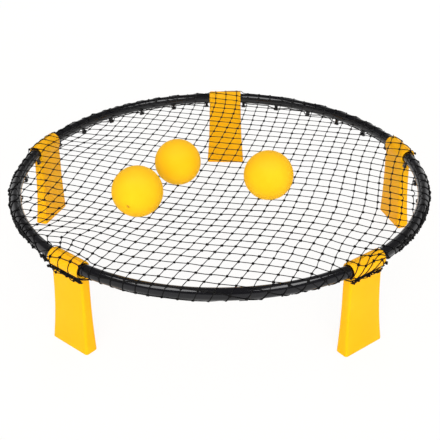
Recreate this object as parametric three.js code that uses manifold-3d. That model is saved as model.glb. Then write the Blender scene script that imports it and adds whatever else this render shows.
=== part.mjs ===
// A roundnet set: a knotted net stretched over a round rim of five plug-together tubes, on five short
// moulded legs that fold in under it, with three hollow balls lying on the net.
// Millimetres, +Z up. The origin is on the ground, under the middle of the rim.
import * as THREE from "three";
import { mergeVertices } from "three/addons/utils/BufferGeometryUtils.js";
import Module from "manifold-3d";

const wasm = await Module();
wasm.setup();

// ---- Driving dimensions ----

const RIM_RADIUS = 443; // to the middle of the tube
const RIM_HEIGHT = 188; // of the middle of the tube above the ground
const TUBE_RADIUS = 12;
const TUBE_BORE_RADIUS = 9.8;
const TUBE_SIDES = 12;
const TUBE_STEPS = 15;
const BORE_SIDES = 8;

// Each leg's azimuth, and the tube that runs from it to the next leg. The front tube is the longest.
const LEGS = [
  { name: "back", degrees: 90, tube: "back_left" },
  { name: "back_left", degrees: 161.6, tube: "left" },
  { name: "front_left", degrees: 232.2, tube: "front" },
  { name: "front_right", degrees: 309.7, tube: "right" },
  { name: "back_right", degrees: 378.8, tube: "back_right" },
];
const FULL_TURN = 2 * Math.PI;
for (const leg of LEGS) leg.azimuth = THREE.MathUtils.degToRad(leg.degrees);
LEGS.forEach((leg, i) => {
  leg.span = i + 1 < LEGS.length ? LEGS[i + 1].azimuth - leg.azimuth : LEGS[0].azimuth + FULL_TURN - leg.azimuth;
});

const SLEEVE_AXIS_RADIUS = 442; // the mean radius of the curved tube inside the straight sleeve
const SLEEVE_RADIUS = 17;
const SLEEVE_BORE_RADIUS = 14; // leaves room for the tube's curve along the sleeve
const SLEEVE_HALF_LENGTH = 41;
const SLEEVE_CHAMFER = 1.6;
const SLEEVE_WEB_HALF = 1.5; // a web across the middle that the tubes stop against
const SLEEVE_SIDES = 20;
const TUBE_END_GAP = 0.5; // between a tube's end and the web

// The blade's sections from the sleeve down to the ground: height above the ground, half width along the
// rim, half thickness, and how far the section's middle stands outside the sleeve's axis.
const BLADE_SECTIONS = [
  { height: 184, halfWidth: 40.6, halfThickness: 11.2, outward: -3.0 },
  { height: 150, halfWidth: 41.8, halfThickness: 11.3, outward: -2.6 },
  { height: 110, halfWidth: 42.8, halfThickness: 11.2, outward: -1.0 },
  { height: 70, halfWidth: 44.4, halfThickness: 11.8, outward: 1.0 },
  { height: 34, halfWidth: 46.8, halfThickness: 12.8, outward: 3.2 },
  { height: 1.2, halfWidth: 49.4, halfThickness: 14.3, outward: 5.6 },
  { height: 0, halfWidth: 48.5, halfThickness: 13.4, outward: 5.6 },
];
const BLADE_CORNER_RADIUS = 5.5;
const BLADE_CORNER_STEPS = 3;

const HOOKS_PER_TUBE = 6;
const FIRST_HOOK_ANGLE = THREE.MathUtils.degToRad(6.5); // from the leg's middle
const HOOK_ROOT_ANGLE = THREE.MathUtils.degToRad(-128); // where the post leaves the tube's section
const HOOK_TIP = { outward: -9.5, up: -21.5 }; // from the middle of the tube
const HOOK_THICKNESS = 5;
const HOOK_POST_HALF = 3;
const HOOK_HEAD_HALF = 5.6;
const HOOK_HEAD_HEIGHT = 3.4;
const HOOK_FILLET = 1.2;

const CORD_HALF = 1.25; // half the thickness of the net's cord
const NET_PITCH = 53.3;
const NET_LINE_DIRECTIONS = [74.4, -11.8].map(THREE.MathUtils.degToRad); // the two families of cords
const NET_PLANE = 12.9; // the net's height above the middle of the tube
const NET_KNOT_LIMIT = 425; // knots further out are drawn in to this radius
const NET_END_SPACING = 10.5; // least gap along the rim between two cords that pass over it
const NET_END_PASSES = 400; // of spreading the cords' ends
const LEAST_CORNER = 0.5; // keeps the corner between two cords that meet sharply from reaching too far
const WRAP_STEPS = 4;
const TUBE_WRAP = { radius: 14.6, from: 90, to: -95, lift: 0 }; // how a cord turns round a bare tube
const SLEEVE_WRAP = { radius: 20.6, from: 115, to: -50, lift: 5.8 }; // and round a sleeve
const WRAP_CHANGES_FROM = 51; // along the rim from the leg's middle, from tube to sleeve
const WRAP_CHANGES_TO = 44;
const EDGE_BENDS = [44, 47.5, 51]; // along the rim from the leg's middle, on both sides
const LIFT_STARTS_AT = 385; // radius where the net starts to rise towards a sleeve
const LIFT_ENDS_AT = 433;
const CAUGHT_EDGE = { along: 4.8, outward: -13.2, up: -14.4 }; // the edge cord's bends on a hook's inner side

const BALL_WALL = 3;
const BALL_SIDES = 20;
const BALL_OUTER_STEPS = 11;
const BALL_INNER_STEPS = 6;
const BALL_REST_GAP = 0.3;
const VALVE_BORE_RADIUS = 3.4;
const VALVE_RADIUS = 3.0;
const VALVE_LENGTH = 9;
const VALVE_SIDES = 10;
const VALVE_SUNK = 0.2; // below the rim of its bore
const NEEDLE_RADIUS = 0.8;
const NEEDLE_DEPTH = 2.5;
// Each ball's radius, where it lies on the net, and which way its valve faces (azimuth and elevation in degrees).
const BALLS = [
  { name: "front", radius: 51.5, x: -155.7, y: -192.2, valve: [-105, -8] },
  { name: "back", radius: 48.7, x: -85.8, y: -57.3, valve: [118, -28] },
  { name: "right", radius: 51.2, x: 105.7, y: -117.3, valve: [62, -24] },
];

const materials = {
  tube: new THREE.MeshStandardMaterial({ color: 0x1d1d21, roughness: 0.32, metalness: 0 }),
  leg: new THREE.MeshStandardMaterial({ color: 0xffc91f, roughness: 0.42, metalness: 0 }),
  cord: new THREE.MeshStandardMaterial({ color: 0x131313, roughness: 0.85, metalness: 0 }),
  ball: new THREE.MeshStandardMaterial({ color: 0xffd21c, roughness: 0.6, metalness: 0 }),
  valve: new THREE.MeshStandardMaterial({ color: 0xd9a514, roughness: 0.7, metalness: 0 }),
};

// ---- Solids ----

function solidFrom(geometry) {
  const bare = geometry.clone();
  bare.deleteAttribute("normal");
  bare.deleteAttribute("uv");
  const merged = mergeVertices(bare, 1e-4);
  const mesh = new wasm.Mesh({
    numProp: 3,
    vertProperties: merged.attributes.position.array,
    triVerts: new Uint32Array(merged.index.array),
  });
  return new wasm.Manifold(mesh);
}

function geometryFrom(solid) {
  const mesh = solid.getMesh();
  const geometry = new THREE.BufferGeometry();
  geometry.setAttribute("position", new THREE.BufferAttribute(mesh.vertProperties, 3));
  geometry.setIndex(new THREE.BufferAttribute(mesh.triVerts, 1));
  return geometry;
}

function namedMesh(name, geometry, material) {
  const mesh = new THREE.Mesh(geometry, material);
  mesh.name = name;
  geometry.computeVertexNormals();
  return mesh;
}

// A closed skin over a stack of rings with equal numbers of points, capped at both ends.
function loft(rings) {
  const sides = rings[0].length;
  const index = [];
  for (let r = 0; r + 1 < rings.length; r++) {
    for (let i = 0; i < sides; i++) {
      const a = r * sides + i;
      const b = r * sides + ((i + 1) % sides);
      index.push(a, b, b + sides, a, b + sides, a + sides);
    }
  }
  const last = (rings.length - 1) * sides;
  for (let i = 1; i + 1 < sides; i++) {
    index.push(0, i + 1, i);
    index.push(last, last + i, last + i + 1);
  }
  const geometry = new THREE.BufferGeometry().setFromPoints(rings.flat());
  geometry.setIndex(index);
  return geometry;
}

// A point of the tube's round section at an angle round the rim: outward and up from the tube's middle.
function rimPoint(azimuth, outward, up) {
  const reach = RIM_RADIUS + outward;
  return new THREE.Vector3(reach * Math.cos(azimuth), reach * Math.sin(azimuth), up);
}

// ---- Rim tubes and their hooks ----

class RimArc extends THREE.Curve {
  constructor(from, to) {
    super();
    this.from = from;
    this.to = to;
  }
  getPoint(t, target = new THREE.Vector3()) {
    return target.copy(rimPoint(this.from + t * (this.to - this.from), 0, 0));
  }
}

function roundOutline(path, radius, sides) {
  for (let i = 0; i < sides; i++) {
    const angle = (FULL_TURN * (i + 0.5)) / sides;
    const method = i === 0 ? "moveTo" : "lineTo";
    path[method](radius * Math.cos(angle), radius * Math.sin(angle));
  }
  path.closePath();
  return path;
}

// The hook's T outline, drawn hanging down from its root with its head at the bottom.
function hookOutline(length) {
  const shape = new THREE.Shape();
  const neck = HOOK_HEAD_HEIGHT - length;
  shape.moveTo(-HOOK_POST_HALF, 0);
  shape.lineTo(-HOOK_POST_HALF, neck + HOOK_FILLET);
  shape.lineTo(-HOOK_POST_HALF - HOOK_FILLET, neck);
  shape.lineTo(-HOOK_HEAD_HALF, neck);
  shape.lineTo(-HOOK_HEAD_HALF, neck - HOOK_HEAD_HEIGHT / 2);
  shape.lineTo(-HOOK_HEAD_HALF + HOOK_FILLET, -length);
  shape.lineTo(HOOK_HEAD_HALF - HOOK_FILLET, -length);
  shape.lineTo(HOOK_HEAD_HALF, neck - HOOK_HEAD_HEIGHT / 2);
  shape.lineTo(HOOK_HEAD_HALF, neck);
  shape.lineTo(HOOK_POST_HALF + HOOK_FILLET, neck);
  shape.lineTo(HOOK_POST_HALF, neck + HOOK_FILLET);
  shape.lineTo(HOOK_POST_HALF, 0);
  shape.closePath();
  return shape;
}

function hookSolid(azimuth) {
  const rootRadius = (TUBE_RADIUS + TUBE_BORE_RADIUS) / 2;
  const root = rimPoint(azimuth, rootRadius * Math.cos(HOOK_ROOT_ANGLE), rootRadius * Math.sin(HOOK_ROOT_ANGLE));
  const tip = rimPoint(azimuth, HOOK_TIP.outward, HOOK_TIP.up);
  const up = root.clone().sub(tip);
  const length = up.length();
  up.normalize();
  const along = new THREE.Vector3(-Math.sin(azimuth), Math.cos(azimuth), 0);
  const across = new THREE.Vector3().crossVectors(along, up);
  const geometry = new THREE.ExtrudeGeometry(hookOutline(length), { depth: HOOK_THICKNESS, bevelEnabled: false });
  geometry.translate(0, 0, -HOOK_THICKNESS / 2);
  geometry.applyMatrix4(new THREE.Matrix4().makeBasis(along, up, across).setPosition(root));
  return solidFrom(geometry);
}

// The hooks of the tube that starts at a leg, spread evenly between the two legs' sleeves.
function hookAzimuths(leg) {
  const pitch = (leg.span - 2 * FIRST_HOOK_ANGLE) / (HOOKS_PER_TUBE - 1);
  return Array.from({ length: HOOKS_PER_TUBE }, (_, i) => leg.azimuth + FIRST_HOOK_ANGLE + i * pitch);
}

function rimTube(leg) {
  const endAngle = (SLEEVE_WEB_HALF + TUBE_END_GAP) / RIM_RADIUS;
  const section = roundOutline(new THREE.Shape(), TUBE_RADIUS, TUBE_SIDES);
  section.holes.push(roundOutline(new THREE.Path(), TUBE_BORE_RADIUS, BORE_SIDES));
  const geometry = new THREE.ExtrudeGeometry(section, {
    steps: TUBE_STEPS,
    extrudePath: new RimArc(leg.azimuth + endAngle, leg.azimuth + leg.span - endAngle),
  });
  let solid = solidFrom(geometry);
  for (const azimuth of hookAzimuths(leg)) solid = solid.add(hookSolid(azimuth));
  return geometryFrom(solid);
}

// ---- Legs, drawn for a leg at azimuth 0: +X is outward, +Y runs along the rim ----

function sleeveSolid() {
  const half = SLEEVE_HALF_LENGTH;
  const rounded = half - SLEEVE_CHAMFER;
  const halfProfile = [
    [0, SLEEVE_WEB_HALF],
    [SLEEVE_BORE_RADIUS, SLEEVE_WEB_HALF],
    [SLEEVE_BORE_RADIUS, half],
    [SLEEVE_RADIUS - SLEEVE_CHAMFER / 2, half],
    [SLEEVE_RADIUS, rounded],
  ];
  const mirrored = halfProfile.map(([r, y]) => [r, -y]);
  const profile = [...mirrored, ...halfProfile.reverse()].map(([r, y]) => new THREE.Vector2(r, y));
  const geometry = new THREE.LatheGeometry(profile, SLEEVE_SIDES);
  return solidFrom(geometry);
}

function bladeRing({ height, halfWidth, halfThickness, outward }) {
  const corner = Math.min(BLADE_CORNER_RADIUS, halfThickness - 1.5);
  const ring = [];
  for (let quadrant = 0; quadrant < 4; quadrant++) {
    const centreX = (quadrant === 0 || quadrant === 3 ? 1 : -1) * (halfThickness - corner);
    const centreY = (quadrant < 2 ? 1 : -1) * (halfWidth - corner);
    for (let step = 0; step <= BLADE_CORNER_STEPS; step++) {
      const angle = (quadrant + step / BLADE_CORNER_STEPS) * (Math.PI / 2);
      const x = outward + centreX + corner * Math.cos(angle);
      const y = centreY + corner * Math.sin(angle);
      ring.push(new THREE.Vector3(x, y, height - RIM_HEIGHT));
    }
  }
  return ring;
}

function legGeometry() {
  const blade = solidFrom(loft([...BLADE_SECTIONS].reverse().map(bladeRing)));
  const sleeveCore = new THREE.CylinderGeometry(
    SLEEVE_BORE_RADIUS, SLEEVE_BORE_RADIUS, 2 * SLEEVE_HALF_LENGTH, SLEEVE_SIDES);
  return geometryFrom(blade.subtract(solidFrom(sleeveCore)).add(sleeveSolid()));
}

// ---- Net: knots and bends joined by square cord, in one closed skin ----

function smoothStep(value, from, to) {
  const t = THREE.MathUtils.clamp((value - from) / (to - from), 0, 1);
  return t * t * (3 - 2 * t);
}

// Distance along the rim from the nearest leg's middle.
function distanceFromLeg(azimuth) {
  const turns = LEGS.map((leg) => (azimuth - leg.azimuth) / FULL_TURN);
  const nearest = Math.min(...turns.map((turn) => Math.abs(turn - Math.round(turn))));
  return nearest * FULL_TURN * RIM_RADIUS;
}

// How a cord turns round the rim at an azimuth: round the bare tube, round a sleeve, or in between.
function wrapAt(azimuth) {
  const share = smoothStep(distanceFromLeg(azimuth), WRAP_CHANGES_FROM, WRAP_CHANGES_TO);
  const wrap = {};
  for (const key of Object.keys(TUBE_WRAP)) {
    wrap[key] = THREE.MathUtils.lerp(TUBE_WRAP[key], SLEEVE_WRAP[key], share);
  }
  return wrap;
}

function netHeight(x, y) {
  const rise = smoothStep(Math.hypot(x, y), LIFT_STARTS_AT, LIFT_ENDS_AT);
  return NET_PLANE + rise * wrapAt(Math.atan2(y, x)).lift;
}

class Net {
  constructor() {
    this.points = []; // each with its position, its outward normal and its neighbours
  }

  add(position, normal) {
    this.points.push({ position, normal, neighbours: [] });
    return this.points.length - 1;
  }

  join(a, b) {
    this.points[a].neighbours.push(b);
    this.points[b].neighbours.push(a);
  }

  // Sorts a point's neighbours round its normal and makes one corner between each two that are adjacent.
  makeCorners(point, vertices) {
    const up = point.normal;
    const first = this.points[point.neighbours[0]].position.clone().sub(point.position);
    const axisX = first.addScaledVector(up, -first.dot(up)).normalize();
    const axisY = new THREE.Vector3().crossVectors(up, axisX);
    point.spokes = point.neighbours.map((id) => {
      const way = this.points[id].position.clone().sub(point.position);
      return { id, angle: Math.atan2(way.dot(axisY), way.dot(axisX)) };
    });
    point.spokes.sort((a, b) => a.angle - b.angle);
    point.top = vertices.push(point.position.clone().addScaledVector(up, CORD_HALF)) - 1;
    point.bottom = vertices.push(point.position.clone().addScaledVector(up, -CORD_HALF)) - 1;
    point.spokes.forEach((spoke, i) => {
      const next = point.spokes[(i + 1) % point.spokes.length];
      const turn = (next.angle - spoke.angle + 2 * FULL_TURN) % FULL_TURN || FULL_TURN;
      const reach = CORD_HALF / Math.max(Math.sin(turn / 2), LEAST_CORNER);
      const angle = spoke.angle + turn / 2;
      const corner = point.position.clone();
      corner.addScaledVector(axisX, reach * Math.cos(angle));
      corner.addScaledVector(axisY, reach * Math.sin(angle));
      spoke.left = vertices.push(corner) - 1;
      next.right = spoke.left;
    });
  }

  geometry() {
    const vertices = [];
    const index = [];
    this.points.forEach((point) => this.makeCorners(point, vertices));
    this.points.forEach((from, id) => {
      for (const spoke of from.spokes.filter((s) => s.id > id)) {
        const to = this.points[spoke.id];
        const back = to.spokes.find((s) => s.id === id);
        const near = [from.top, spoke.left, from.bottom, spoke.right];
        const far = [to.top, back.right, to.bottom, back.left];
        near.forEach((a, i) => {
          const j = (i + 1) % near.length;
          index.push(a, far[j], near[j], a, far[i], far[j]);
        });
      }
    });
    const geometry = new THREE.BufferGeometry().setFromPoints(vertices);
    geometry.setIndex(index);
    return geometry;
  }
}

// The parallel cords of one family: each with a point on it, its direction and its half chord in the rim.
function cordFamily(direction) {
  const along = new THREE.Vector2(Math.cos(direction), Math.sin(direction));
  const across = new THREE.Vector2(-along.y, along.x);
  const lines = [];
  const count = Math.floor(RIM_RADIUS / NET_PITCH + 0.5);
  for (let i = -count; i < count; i++) {
    const offset = (i + 0.5) * NET_PITCH;
    const halfChord = Math.sqrt(RIM_RADIUS ** 2 - offset ** 2);
    lines.push({ foot: across.clone().multiplyScalar(offset), along, halfChord, stops: [] });
  }
  return lines;
}

function addKnots(net, families) {
  const up = new THREE.Vector3(0, 0, 1);
  for (const a of families[0]) {
    for (const b of families[1]) {
      const gap = b.foot.clone().sub(a.foot);
      const turn = a.along.cross(b.along);
      const onA = gap.cross(b.along) / turn;
      const onB = gap.cross(a.along) / turn;
      const place = a.foot.clone().addScaledVector(a.along, onA);
      if (place.length() > RIM_RADIUS) continue;
      place.clampLength(0, NET_KNOT_LIMIT);
      const id = net.add(new THREE.Vector3(place.x, place.y, netHeight(place.x, place.y)), up);
      a.stops.push({ at: onA, id });
      b.stops.push({ at: onB, id });
    }
  }
}

// Spreads the cords' ends so that none lies on another or on a hook. Hooks stay where they are.
function spreadEnds(ends, hooks) {
  const items = [...ends, ...hooks].sort((a, b) => a.azimuth - b.azimuth);
  const least = NET_END_SPACING / RIM_RADIUS;
  for (let pass = 0; pass < NET_END_PASSES; pass++) {
    items.forEach((a, i) => {
      const b = items[(i + 1) % items.length];
      const gap = (b.azimuth - a.azimuth + FULL_TURN) % FULL_TURN;
      if (gap >= least) return;
      const push = (least - gap) / (a.fixed || b.fixed ? 1 : 2);
      a.azimuth -= a.fixed ? 0 : push;
      b.azimuth += b.fixed ? 0 : push;
    });
  }
}

function sectionPoint(azimuth, angle, radius) {
  const bend = THREE.MathUtils.degToRad(angle);
  return rimPoint(azimuth, radius * Math.cos(bend), radius * Math.sin(bend));
}

function sectionNormal(azimuth, angle) {
  const bend = THREE.MathUtils.degToRad(angle);
  const out = Math.cos(bend);
  return new THREE.Vector3(out * Math.cos(azimuth), out * Math.sin(azimuth), Math.sin(bend));
}

// Takes one cord from its last knot over the rim, down its outside and under it, to the net's edge.
function wrapCord(net, knot, azimuth) {
  const wrap = wrapAt(azimuth);
  let last = knot;
  for (let step = 0; step <= WRAP_STEPS; step++) {
    const angle = THREE.MathUtils.lerp(wrap.from, wrap.to, step / WRAP_STEPS);
    const id = net.add(sectionPoint(azimuth, angle, wrap.radius), sectionNormal(azimuth, angle));
    net.join(last, id);
    last = id;
  }
  return last;
}

// The azimuths of the hooks that catch the net's edge: all but the two beside each sleeve's ends.
function catchingHooks() {
  const azimuths = LEGS.flatMap((leg) => hookAzimuths(leg).slice(1, -1));
  return azimuths.map((azimuth) => ({ azimuth: azimuth % FULL_TURN, fixed: true }));
}

// Bends of the edge cord where it steps from under the tube to the outside of a sleeve.
function edgeBends() {
  const places = EDGE_BENDS.flatMap((bend) => [-bend, bend]);
  const azimuths = LEGS.flatMap((leg) => places.map((along) => leg.azimuth + along / RIM_RADIUS));
  return azimuths.map((azimuth) => ({ azimuth: azimuth % FULL_TURN }));
}

function addEdge(net, ends, hooks) {
  const caught = hooks.flatMap((hook) => [-1, 1].map((side) => {
    const azimuth = hook.azimuth + (side * CAUGHT_EDGE.along) / RIM_RADIUS;
    const place = rimPoint(azimuth, CAUGHT_EDGE.outward, CAUGHT_EDGE.up);
    return { azimuth, id: net.add(place, new THREE.Vector3(0, 0, -1)) };
  }));
  const bends = edgeBends().filter((bend) =>
    ends.every((end) => Math.abs(end.azimuth - bend.azimuth) * RIM_RADIUS > 2 * CORD_HALF));
  for (const bend of bends) {
    const wrap = wrapAt(bend.azimuth);
    const place = sectionPoint(bend.azimuth, wrap.to, wrap.radius);
    bend.id = net.add(place, sectionNormal(bend.azimuth, wrap.to));
  }
  const edge = [...ends, ...caught, ...bends].sort((a, b) => a.azimuth - b.azimuth);
  edge.forEach((item, i) => net.join(item.id, edge[(i + 1) % edge.length].id));
}

function netGeometry() {
  const net = new Net();
  const families = NET_LINE_DIRECTIONS.map(cordFamily);
  addKnots(net, families);
  const ends = [];
  for (const line of families.flat()) {
    line.stops.sort((a, b) => a.at - b.at);
    for (let i = 0; i + 1 < line.stops.length; i++) net.join(line.stops[i].id, line.stops[i + 1].id);
    for (const side of [-1, 1]) {
      const rimEnd = line.foot.clone().addScaledVector(line.along, side * line.halfChord);
      const azimuth = (Math.atan2(rimEnd.y, rimEnd.x) + FULL_TURN) % FULL_TURN;
      ends.push({ azimuth, knot: line.stops.at(side < 0 ? 0 : -1).id });
    }
  }
  const hooks = catchingHooks();
  spreadEnds(ends, hooks);
  for (const end of ends) end.id = wrapCord(net, end.knot, end.azimuth);
  addEdge(net, ends, hooks);
  return net.geometry();
}

// ---- Balls and valves, drawn with the valve at the top ----

function ballGeometry(outerRadius) {
  const profile = [];
  const arc = (radius, steps, fromBottom) => {
    const top = Math.PI / 2 - Math.asin(VALVE_BORE_RADIUS / radius);
    for (let i = 0; i <= steps; i++) {
      const share = fromBottom ? i / steps : 1 - i / steps;
      const angle = THREE.MathUtils.lerp(-Math.PI / 2, top, share);
      const reach = share === 0 ? 0 : radius * Math.cos(angle);
      profile.push(new THREE.Vector2(reach, radius * Math.sin(angle)));
    }
  };
  arc(outerRadius, BALL_OUTER_STEPS, true);
  arc(outerRadius - BALL_WALL, BALL_INNER_STEPS, false);
  return geometryFrom(solidFrom(new THREE.LatheGeometry(profile, BALL_SIDES)));
}

function valveGeometry(ballRadius) {
  const top = Math.sqrt(ballRadius ** 2 - VALVE_BORE_RADIUS ** 2) - VALVE_SUNK;
  const profile = [
    [0, top - VALVE_LENGTH],
    [VALVE_RADIUS * 0.6, top - VALVE_LENGTH],
    [VALVE_RADIUS, top - VALVE_LENGTH * 0.7],
    [VALVE_RADIUS, top - 0.4],
    [VALVE_RADIUS - 0.4, top],
    [NEEDLE_RADIUS, top],
    [NEEDLE_RADIUS / 2, top - NEEDLE_DEPTH],
    [0, top - NEEDLE_DEPTH],
  ];
  const points = profile.map(([r, y]) => new THREE.Vector2(r, y));
  return geometryFrom(solidFrom(new THREE.LatheGeometry(points, VALVE_SIDES)));
}

// ---- Assembly ----

const set = new THREE.Group();
const ring = new THREE.Group();
ring.position.z = RIM_HEIGHT;
set.add(ring);

for (const leg of LEGS) {
  const place = new THREE.Group();
  place.rotation.z = leg.azimuth;
  const mesh = namedMesh(`leg_${leg.name}`, legGeometry(), materials.leg);
  mesh.position.x = SLEEVE_AXIS_RADIUS;
  place.add(mesh);
  ring.add(place);
}

for (const leg of LEGS) ring.add(namedMesh(`rim_tube_${leg.tube}`, rimTube(leg), materials.tube));

ring.add(namedMesh("net", netGeometry(), materials.cord));

for (const ball of BALLS) {
  const place = new THREE.Group();
  place.position.set(ball.x, ball.y, NET_PLANE + CORD_HALF + BALL_REST_GAP + ball.radius);
  const [azimuth, elevation] = ball.valve.map(THREE.MathUtils.degToRad);
  const facing = new THREE.Vector3(
    Math.cos(elevation) * Math.cos(azimuth), Math.cos(elevation) * Math.sin(azimuth), Math.sin(elevation));
  place.quaternion.setFromUnitVectors(new THREE.Vector3(0, 1, 0), facing);
  place.add(namedMesh(`ball_${ball.name}`, ballGeometry(ball.radius), materials.ball));
  place.add(namedMesh(`valve_${ball.name}`, valveGeometry(ball.radius), materials.valve));
  ring.add(place);
}

export default set;
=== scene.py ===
"""A roundnet set: a knotted net stretched over a round rim on five folding legs, with three balls on it.

Metres, +Z up. The origin is on the ground, under the middle of the rim; +Y points at the back leg.
"""
import math

import bmesh
import bpy
import numpy as np
from mathutils import Matrix, Vector


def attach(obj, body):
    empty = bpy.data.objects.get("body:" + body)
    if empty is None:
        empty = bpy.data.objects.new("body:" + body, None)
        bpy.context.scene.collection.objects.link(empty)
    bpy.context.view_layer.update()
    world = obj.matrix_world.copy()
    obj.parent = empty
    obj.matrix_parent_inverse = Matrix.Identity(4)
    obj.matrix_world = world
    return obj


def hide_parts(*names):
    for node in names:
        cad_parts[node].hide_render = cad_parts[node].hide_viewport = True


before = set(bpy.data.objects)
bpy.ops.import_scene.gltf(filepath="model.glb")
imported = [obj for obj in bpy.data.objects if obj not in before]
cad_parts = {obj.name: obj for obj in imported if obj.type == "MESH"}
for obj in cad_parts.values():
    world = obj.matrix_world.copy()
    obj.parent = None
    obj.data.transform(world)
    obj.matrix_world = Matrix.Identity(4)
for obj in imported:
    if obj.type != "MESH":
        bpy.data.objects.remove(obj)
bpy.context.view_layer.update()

MM = 0.001
MERGE_DISTANCE = 1e-6

# ---- Driving dimensions ----

RIM_RADIUS = 443 * MM  # to the middle of the tube
RIM_HEIGHT = 188 * MM  # of the middle of the tube above the ground
TUBE_RADIUS = 12 * MM
TUBE_WALL = 2.2 * MM
TUBE_SIDES = 48
TUBE_STEPS = 110
TUBE_LIP = 0.6 * MM
TUBE_CREASE = 40  # degrees; edges that turn more stay crisp
LEG_CREASE = 42

# Each leg's azimuth in degrees, and the tube that runs from it to the next leg.
LEGS = [
    ("back", 90.0, "back_left"),
    ("back_left", 161.6, "left"),
    ("front_left", 232.2, "front"),
    ("front_right", 309.7, "right"),
    ("back_right", 378.8, "back_right"),
]
LEG_AZIMUTHS = [math.radians(degrees) for _, degrees, _ in LEGS]
LEG_SPANS = [b - a for a, b in zip(LEG_AZIMUTHS, [*LEG_AZIMUTHS[1:], LEG_AZIMUTHS[0] + math.tau])]

SLEEVE_AXIS_RADIUS = 442 * MM
SLEEVE_RADIUS = 17 * MM
SLEEVE_BORE_RADIUS = 14 * MM
SLEEVE_HALF_LENGTH = 41 * MM
SLEEVE_EDGE = 2.2 * MM
SLEEVE_WEB_HALF = 1.5 * MM
SLEEVE_STEPS = 44
SLEEVE_STARTS_AT = 8  # degrees round the sleeve from its lowest line, where the blade ends
BORE_SIDES = 64
BORE_OVERSHOOT = 8 * MM
TUBE_END_GAP = 0.5 * MM

# The blade from its foot up: height above the ground, half width, half thickness, and how far outward its
# middle lies from the sleeve's axis.
BLADE_SECTIONS = [
    (0, 48.5, 13.4, 5.6),
    (1.2, 49.4, 14.3, 5.6),
    (34, 46.8, 12.8, 3.2),
    (70, 44.4, 11.8, 1.0),
    (110, 42.8, 11.2, -1.0),
    (150, 41.8, 11.3, -2.6),
    (184, 40.6, 11.2, -3.0),
]
BLADE_CORNER = 5.5 * MM
SOLE_EDGE_LEVELS = [0.0, 0.2 * MM, 0.5 * MM, 0.85 * MM]
SOLE_EDGE_TOP = 1.2 * MM
SECTION_FLAT = 0.2 * MM  # of a section's half thickness that its corners leave straight
BLADE_STEPS = 36
BLADE_TOP = 184 * MM
BLADE_BLEND = (RIM_HEIGHT - 19 * MM, RIM_HEIGHT - 12 * MM)  # where the blade's ends turn into the sleeve's
BLEND_RISES = (RIM_HEIGHT - 28 * MM, RIM_HEIGHT - 20 * MM)  # where the fillet between the two starts
BLEND_FADES = (RIM_HEIGHT - 9 * MM, RIM_HEIGHT - 2 * MM)
CORNER_STEPS = 8
BLEND_SOFTNESS = 4 * MM

HOOKS_PER_TUBE = 6
FIRST_HOOK_ANGLE = math.radians(6.5)  # from the leg's middle
HOOK_ROOT_ANGLE = math.radians(-128)
HOOK_TIP = (-9.5 * MM, -21.5 * MM)  # outward and up from the middle of the tube
HOOK_THICKNESS = 5 * MM
HOOK_POST_HALF = 3 * MM
HOOK_HEAD_HALF = 5.6 * MM
HOOK_HEAD_HEIGHT = 3.4 * MM
HOOK_FILLET = 1.4 * MM
HOOK_CORNER_STEPS = 3
HOOK_EDGE = 0.45 * MM

# ---- The net's own dimensions ----

CORD_RADIUS = 0.85 * MM
CORD_SIDES = 6
CORD_STEPS = 5  # from knot to knot
NET_PLANE = TUBE_RADIUS + CORD_RADIUS  # height above the middle of the tube
NET_ORIGIN = Vector((10.2, 28.6)) * MM
NET_STEP_ACROSS = Vector((25.77, -5.43)) * MM
NET_STEP_BACK = Vector((7.15, 24.73)) * MM
NET_REACH = 26  # meshes counted each way from the middle

# How the stretched net's mesh is drawn out of square: the middle, shift and reach of each soft pull, in
# millimetres. A pull's middle may lie beyond the rim.
NET_PULLS = [
    ((-101, -517), (-46, -3), 166),
    ((-55, -39), (3, -43), 173),
    ((357, -173), (16, -28), 112),
    ((-369, 184), (-60, 31), 114),
    ((39, 640), (-95, 28), 165),
    ((530, -51), (-33, -46), 137),
    ((-332, 204), (46, -42), 80),
    ((-237, -268), (6, 11), 48),
    ((347, -360), (-63, -35), 87),
    ((297, -375), (29, -20), 59),
    ((-257, -371), (42, -3), 40),
    ((-327, -356), (71, -20), 37),
    ((-322, -370), (-65, 52), 67),
    ((368, -342), (-7, 51), 37),
]
KNOT_JITTER = 0.7 * MM
CORD_BOW = 0.9 * MM
SLACK_PLACES = [((-395, -150), 60), ((-309, -304), 30), ((416, -120), 40)]
SLACK_JITTER = 2.2 * MM
SLACK_BOW = 7.0 * MM

WRAP_LENGTH = 43.5 * MM  # of net laid round the tube, from its top
GATHER_LENGTH = 30 * MM  # of net bunched up beyond that on a leg's sleeve
GATHER_SPREAD = 3.2 * MM
GATHER_OUT = 2.0 * MM
GATHER_SINK = 4 * MM
SLEEVE_CHANGES = (50 * MM, 42 * MM)  # along the rim from a leg's middle, from tube to sleeve
LIFT_STARTS_AT = 385 * MM
EDGE_RADIUS = 1.3 * MM
EDGE_PROUD = EDGE_RADIUS * 0.6  # of the cords that end on it
EDGE_SIDES = 8
EDGE_STEP = 5 * MM
EDGE_SAG = 0.8 * MM
CAUGHT_EDGE = (4.8 * MM, -13.2 * MM, -14.4 * MM)  # along the rim, outward and up from the tube's middle

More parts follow.
